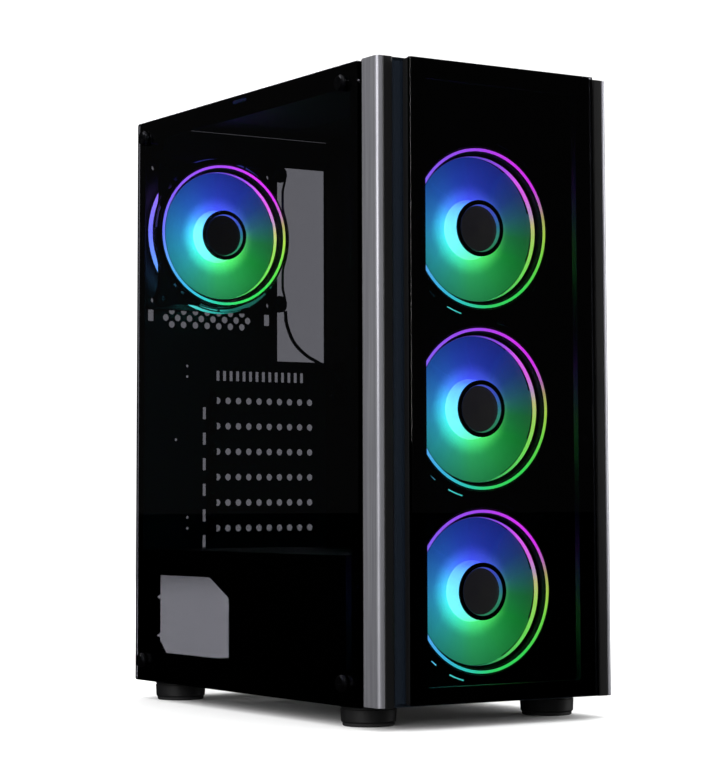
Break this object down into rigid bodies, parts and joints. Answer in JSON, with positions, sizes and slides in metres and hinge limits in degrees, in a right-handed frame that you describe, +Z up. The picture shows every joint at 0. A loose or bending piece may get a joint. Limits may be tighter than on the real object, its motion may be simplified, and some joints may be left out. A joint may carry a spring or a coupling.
{
  "type": "desktop computer tower",
  "caption": "Empty mid-size computer tower with a smoked glass side and front, lit fans, rear card slots and a power supply shroud.",
  "frame": {"origin": "on the floor, under the middle of the whole object", "axes": "+Z up, -Y towards the glass front, -X towards the glass side"},
  "size_m": [0.1994, 0.3658, 0.4509],
  "materials": {
    "black_steel": "fine black powder coat",
    "smoked_glass": "dark tinted tempered glass",
    "brushed_trim": "vertically brushed, dark",
    "lit_front_ring": "milky light guide, lit",
    "lit_rear_ring": "milky light guide, lit",
    "rotor_plastic": "translucent, lit from inside",
    "fan_plastic": "black, fine grain",
    "bezel_plastic": "black, satin",
    "button_plastic": "black, satin gloss",
    "grey_plastic": "dark grey",
    "foot_rubber": "black moulded foot with a soft sole",
    "post_rubber": "black",
    "black_screw": "black nickel",
    "cable_sleeve": "black sleeve"
  },
  "bodies": {
    "case": {"top_panel": "black_steel", "floor_panel": "black_steel", "rear_panel": "black_steel", "front_plate": "black_steel", "motherboard_tray": "black_steel", "psu_shroud": "black_steel", "slot_cover_1": "black_steel", "slot_cover_2": "black_steel", "slot_cover_3": "black_steel", "slot_cover_4": "black_steel", "slot_cover_5": "black_steel", "slot_cover_6": "black_steel", "front_fan_top_frame": "fan_plastic", "front_fan_top_front_ring": "lit_front_ring", "front_fan_top_rear_ring": "lit_rear_ring", "front_fan_middle_frame": "fan_plastic", "front_fan_middle_front_ring": "lit_front_ring", "front_fan_middle_rear_ring": "lit_rear_ring", "front_fan_bottom_frame": "fan_plastic", "front_fan_bottom_front_ring": "lit_front_ring", "front_fan_bottom_rear_ring": "lit_rear_ring", "rear_fan_frame": "fan_plastic", "rear_fan_front_ring": "lit_front_ring", "rear_fan_rear_ring": "lit_rear_ring", "glass_post_rear_top": "post_rubber", "glass_post_front_top": "post_rubber", "glass_post_rear_bottom": "post_rubber", "glass_post_front_bottom": "post_rubber", "foot_front_left": "foot_rubber", "foot_front_right": "foot_rubber", "foot_rear_left": "foot_rubber", "foot_rear_right": "foot_rubber", "io_module": "bezel_plastic", "drive_cage": "black_steel", "rear_fan_cable": "cable_sleeve"},
    "front_fan_top_wheel": {"front_fan_top_rotor": "rotor_plastic", "front_fan_top_hub_cap": "fan_plastic"},
    "front_fan_middle_wheel": {"front_fan_middle_rotor": "rotor_plastic", "front_fan_middle_hub_cap": "fan_plastic"},
    "front_fan_bottom_wheel": {"front_fan_bottom_rotor": "rotor_plastic", "front_fan_bottom_hub_cap": "fan_plastic"},
    "rear_fan_wheel": {"rear_fan_rotor": "rotor_plastic", "rear_fan_hub_cap": "fan_plastic"},
    "side_glass": {"side_glass": "smoked_glass"},
    "glass_screw_rear_top": {"glass_screw_rear_top": "black_screw"},
    "glass_screw_front_top": {"glass_screw_front_top": "black_screw"},
    "glass_screw_rear_bottom": {"glass_screw_rear_bottom": "black_screw"},
    "glass_screw_front_bottom": {"glass_screw_front_bottom": "black_screw"},
    "right_panel": {"right_panel": "black_steel"},
    "panel_screw_lower": {"panel_screw_lower": "black_screw"},
    "panel_screw_upper": {"panel_screw_upper": "black_screw"},
    "front_cover": {"front_bezel": "bezel_plastic", "side_trim_left": "brushed_trim", "side_trim_right": "brushed_trim", "front_carrier": "bezel_plastic", "front_glass": "smoked_glass"},
    "power_button": {"power_button": "button_plastic"},
    "light_button": {"light_button": "button_plastic"},
    "psu_filter": {"psu_filter": "grey_plastic"},
    "drive_tray": {"drive_tray": "grey_plastic"}
  },
  "joints": [
    {"name": "front_fan_top_spin", "type": "hinge", "parent": "case", "child": "front_fan_top_wheel", "pos_m": [0.00225, -0.15335, 0.3393], "axis": [0, 1, 0], "continuous": true},
    {"name": "front_fan_middle_spin", "type": "hinge", "parent": "case", "child": "front_fan_middle_wheel", "pos_m": [0.00225, -0.15335, 0.21405], "axis": [0, 1, 0], "continuous": true},
    {"name": "front_fan_bottom_spin", "type": "hinge", "parent": "case", "child": "front_fan_bottom_wheel", "pos_m": [0.00225, -0.15335, 0.0888], "axis": [0, 1, 0], "continuous": true},
    {"name": "rear_fan_spin", "type": "hinge", "parent": "case", "child": "rear_fan_wheel", "pos_m": [-0.02825, 0.14885, 0.3619], "axis": [0, 1, 0], "continuous": true},
    {"name": "side_glass_off", "type": "slide", "parent": "case", "child": "side_glass", "axis": [-1, 0, 0], "range_m": [0, 0.12]},
    {"name": "glass_screw_rear_top_turn", "type": "hinge", "parent": "side_glass", "child": "glass_screw_rear_top", "pos_m": [-0.09525, 0.16065, 0.4354], "axis": [-1, 0, 0], "continuous": true},
    {"name": "glass_screw_front_top_turn", "type": "hinge", "parent": "side_glass", "child": "glass_screw_front_top", "pos_m": [-0.09525, -0.13045, 0.4354], "axis": [-1, 0, 0], "continuous": true},
    {"name": "glass_screw_rear_bottom_turn", "type": "hinge", "parent": "side_glass", "child": "glass_screw_rear_bottom", "pos_m": [-0.09525, 0.16065, 0.0293], "axis": [-1, 0, 0], "continuous": true},
    {"name": "glass_screw_front_bottom_turn", "type": "hinge", "parent": "side_glass", "child": "glass_screw_front_bottom", "pos_m": [-0.09525, -0.13045, 0.0293], "axis": [-1, 0, 0], "continuous": true},
    {"name": "right_panel_off", "type": "slide", "parent": "case", "child": "right_panel", "axis": [0, 1, 0], "range_m": [0, 0.36]},
    {"name": "panel_screw_lower_turn", "type": "hinge", "parent": "right_panel", "child": "panel_screw_lower", "pos_m": [0.09125, 0.17515, 0.0787], "axis": [0, 1, 0], "continuous": true},
    {"name": "panel_screw_upper_turn", "type": "hinge", "parent": "right_panel", "child": "panel_screw_upper", "pos_m": [0.09125, 0.17515, 0.3837], "axis": [0, 1, 0], "continuous": true},
    {"name": "front_cover_off", "type": "slide", "parent": "case", "child": "front_cover", "axis": [0, -1, 0], "range_m": [0, 0.12]},
    {"name": "power_button_press", "type": "slide", "parent": "case", "child": "power_button", "axis": [0, 0, -1], "range_m": [0, 0.0012], "stiffness_N_per_m": 400, "springref_m": -0.002},
    {"name": "light_button_press", "type": "slide", "parent": "case", "child": "light_button", "axis": [0, 0, -1], "range_m": [0, 0.0012], "stiffness_N_per_m": 400, "springref_m": -0.002},
    {"name": "psu_filter_out", "type": "slide", "parent": "case", "child": "psu_filter", "axis": [0, 1, 0], "range_m": [0, 0.165]},
    {"name": "drive_tray_out", "type": "slide", "parent": "case", "child": "drive_tray", "axis": [0, 1, 0], "range_m": [0, 0.09]}
  ]
}
